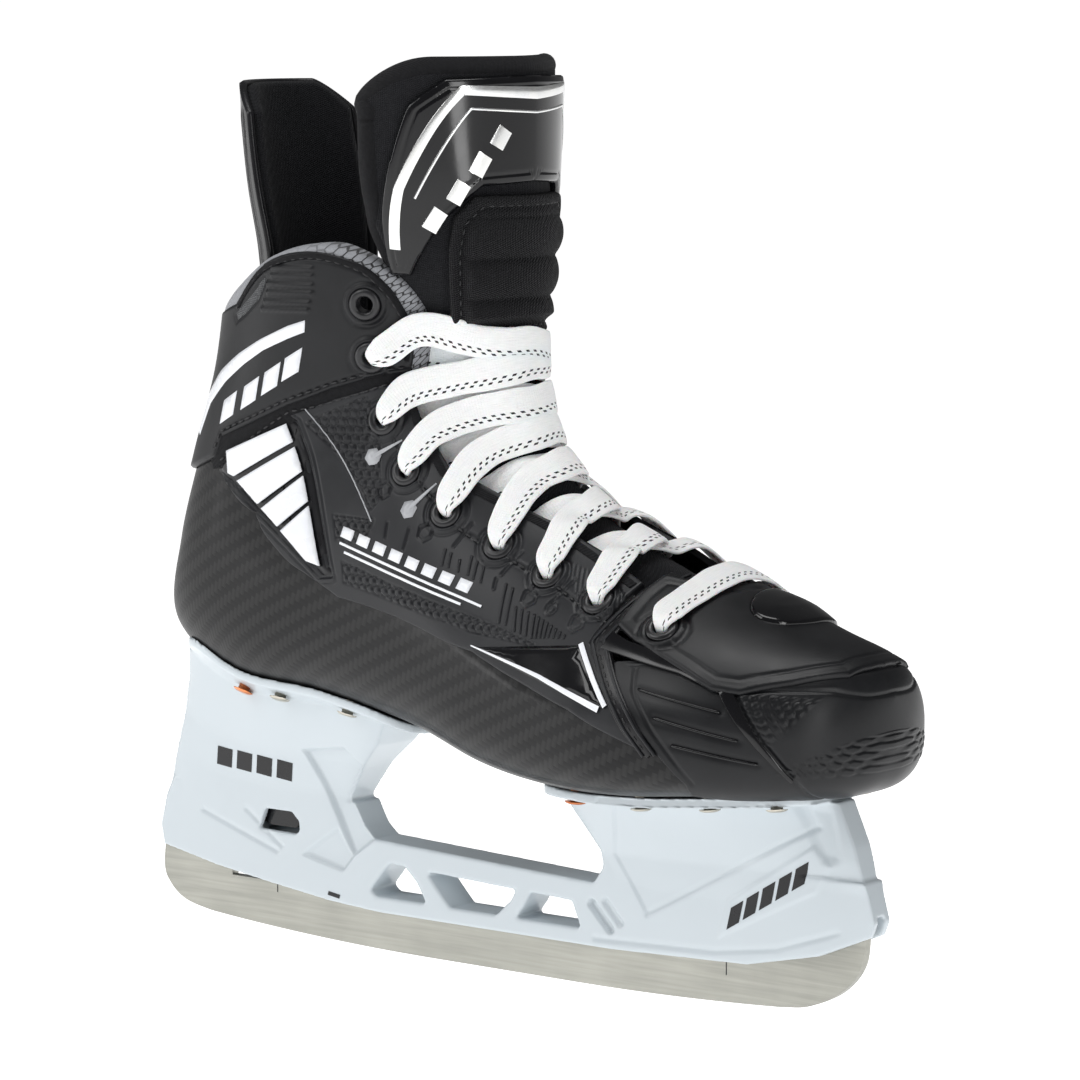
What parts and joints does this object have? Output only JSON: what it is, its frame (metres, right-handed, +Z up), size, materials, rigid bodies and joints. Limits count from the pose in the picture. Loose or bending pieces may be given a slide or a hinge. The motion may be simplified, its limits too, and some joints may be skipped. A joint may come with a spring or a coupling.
{
  "type": "ice hockey skate",
  "caption": "Laced ice hockey skate for the right foot: moulded composite boot, flexing tongue and tendon guard, white two-tower blade holder and quick-release steel blade.",
  "frame": {"origin": "on the ice, under the middle of the blade, in the blade's mid plane", "axes": "+X towards the toe, +Y towards the inner (medial) side of the foot, -Y towards the outer (lateral) side, +Z up"},
  "size_m": [0.2944, 0.1025, 0.2901],
  "materials": {
    "carbon_composite": "clear-coated twill weave",
    "black_rubber": "matte, embossed",
    "gloss_black_plastic": "gloss",
    "white_reflective_film": "pearl gloss",
    "grey_lining_fabric": "woven, printed with open hexagons",
    "black_felt": "felt",
    "black_mesh_fabric": "quilted mesh",
    "white_nylon": "gloss",
    "stainless_steel": "brushed along its length",
    "copper": "plated, polished",
    "white_waxed_polyester": "flat braid with black tracers"
  },
  "bodies": {
    "boot_and_holder": {"blade_holder": "white_nylon", "boot_shell": "carbon_composite", "collar_wrap": "black_rubber", "eyelet_lateral_1": "black_rubber", "eyelet_lateral_2": "black_rubber", "eyelet_lateral_3": "black_rubber", "eyelet_lateral_4": "black_rubber", "eyelet_lateral_5": "black_rubber", "eyelet_lateral_6": "black_rubber", "eyelet_lateral_7": "black_rubber", "eyelet_lateral_8": "black_rubber", "eyelet_lateral_9": "black_rubber", "eyelet_medial_1": "black_rubber", "eyelet_medial_2": "black_rubber", "eyelet_medial_3": "black_rubber", "eyelet_medial_4": "black_rubber", "eyelet_medial_5": "black_rubber", "eyelet_medial_6": "black_rubber", "eyelet_medial_7": "black_rubber", "eyelet_medial_8": "black_rubber", "eyelet_medial_9": "black_rubber", "footbed": "black_felt", "lace": "white_waxed_polyester", "lace_hank": "white_waxed_polyester", "lace_tail_lateral": "white_waxed_polyester", "lace_tail_medial": "white_waxed_polyester", "lateral_accent_plate": "white_reflective_film", "lateral_quarter_skin": "black_rubber", "liner": "grey_lining_fabric", "medial_accent_plate": "white_reflective_film", "medial_quarter_skin": "black_rubber", "rivet_front_lateral_1": "copper", "rivet_front_lateral_2": "stainless_steel", "rivet_front_lateral_3": "stainless_steel", "rivet_front_lateral_4": "stainless_steel", "rivet_front_medial_1": "copper", "rivet_front_medial_2": "stainless_steel", "rivet_front_medial_3": "stainless_steel", "rivet_front_medial_4": "stainless_steel", "rivet_rear_lateral_1": "copper", "rivet_rear_lateral_2": "stainless_steel", "rivet_rear_lateral_3": "stainless_steel", "rivet_rear_medial_1": "copper", "rivet_rear_medial_2": "stainless_steel", "rivet_rear_medial_3": "stainless_steel", "toe_badge": "gloss_black_plastic", "toe_cap": "gloss_black_plastic", "toe_top_cover": "black_rubber", "tongue_lower": "black_felt", "trigger_pin": "stainless_steel", "trigger_spring": "stainless_steel"},
    "runner": {"blade": "stainless_steel"},
    "release": {"release_trigger": "gloss_black_plastic"},
    "tongue_top": {"tongue_upper": "black_felt", "tongue_cover": "gloss_black_plastic", "tongue_lace_pad": "black_mesh_fabric", "tongue_binding": "black_felt"},
    "tendon_flap": {"tendon_guard": "black_rubber", "tendon_guard_lining": "black_felt"}
  },
  "joints": [
    {"name": "blade_swing", "type": "hinge", "parent": "boot_and_holder", "child": "runner", "pos_m": [0.122, 0, 0.0255], "axis": [0, -1, 0], "range_deg": [0, 8]},
    {"name": "release_trigger_lift", "type": "hinge", "parent": "boot_and_holder", "child": "release", "pos_m": [-0.118, 0, 0.047], "axis": [0, -1, 0], "range_deg": [0, 12], "stiffness_Nm_per_rad": 0.15, "springref_deg": -5.73, "deforming": ["trigger_spring"]},
    {"name": "tongue_flex", "type": "hinge", "parent": "boot_and_holder", "child": "tongue_top", "pos_m": [0.0085, 0, 0.2025], "axis": [0, 1, 0], "range_deg": [0, 25], "stiffness_Nm_per_rad": 0.6},
    {"name": "tendon_guard_flex", "type": "hinge", "parent": "boot_and_holder", "child": "tendon_flap", "pos_m": [-0.095, 0, 0.209], "axis": [0, -1, 0], "range_deg": [0, 10], "stiffness_Nm_per_rad": 0.8}
  ]
}
